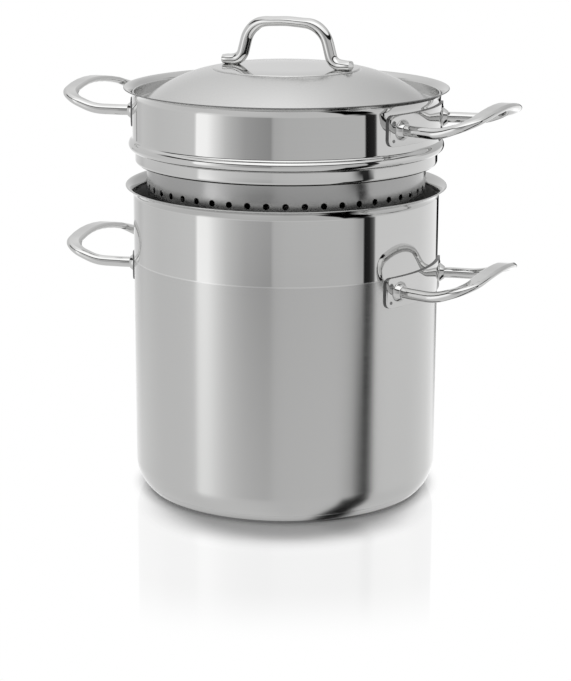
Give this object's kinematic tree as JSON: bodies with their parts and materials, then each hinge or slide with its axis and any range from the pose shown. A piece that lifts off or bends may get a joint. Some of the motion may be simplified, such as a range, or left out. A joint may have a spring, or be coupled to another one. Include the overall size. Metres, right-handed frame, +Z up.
{
  "type": "pasta pot",
  "caption": "Tall steel stock pot with a lift-out perforated strainer insert, looped side handles on curved plates, a sandwich base and a domed lid with a bridge handle.",
  "frame": {"origin": "centre of the pot's base, on the surface that it stands on", "axes": "+Z up along the pot's axis, +X towards one of the side handles, +Y square to both"},
  "size_m": [0.368, 0.2524, 0.3719],
  "materials": {
    "satin_steel": "satin stainless steel, mirror-polished in a band under the pot's rim",
    "mirror_steel": "mirror-polished stainless steel",
    "handle_steel": "polished stainless steel rod and plate",
    "aluminium": "bare rolled aluminium, closed in by the steel cap"
  },
  "bodies": {
    "pot": {"pot_shell": "satin_steel", "base_core": "aluminium", "base_cap": "satin_steel", "pot_handle_plate_right": "handle_steel", "pot_handle_plate_left": "handle_steel", "pot_handle_right": "handle_steel", "pot_handle_left": "handle_steel"},
    "insert": {"insert_collar": "mirror_steel", "strainer_basket": "satin_steel", "insert_handle_plate_right": "handle_steel", "insert_handle_plate_left": "handle_steel", "insert_handle_right": "handle_steel", "insert_handle_left": "handle_steel"},
    "lid": {"lid_shell": "satin_steel", "lid_handle": "handle_steel"}
  },
  "joints": [
    {"name": "insert_lift", "type": "slide", "parent": "pot", "child": "insert", "axis": [0, 0, 1], "range_m": [-0.0304, 0.22]},
    {"name": "lid_lift", "type": "slide", "parent": "insert", "child": "lid", "axis": [0, 0, 1], "range_m": [0, 0.15]}
  ]
}
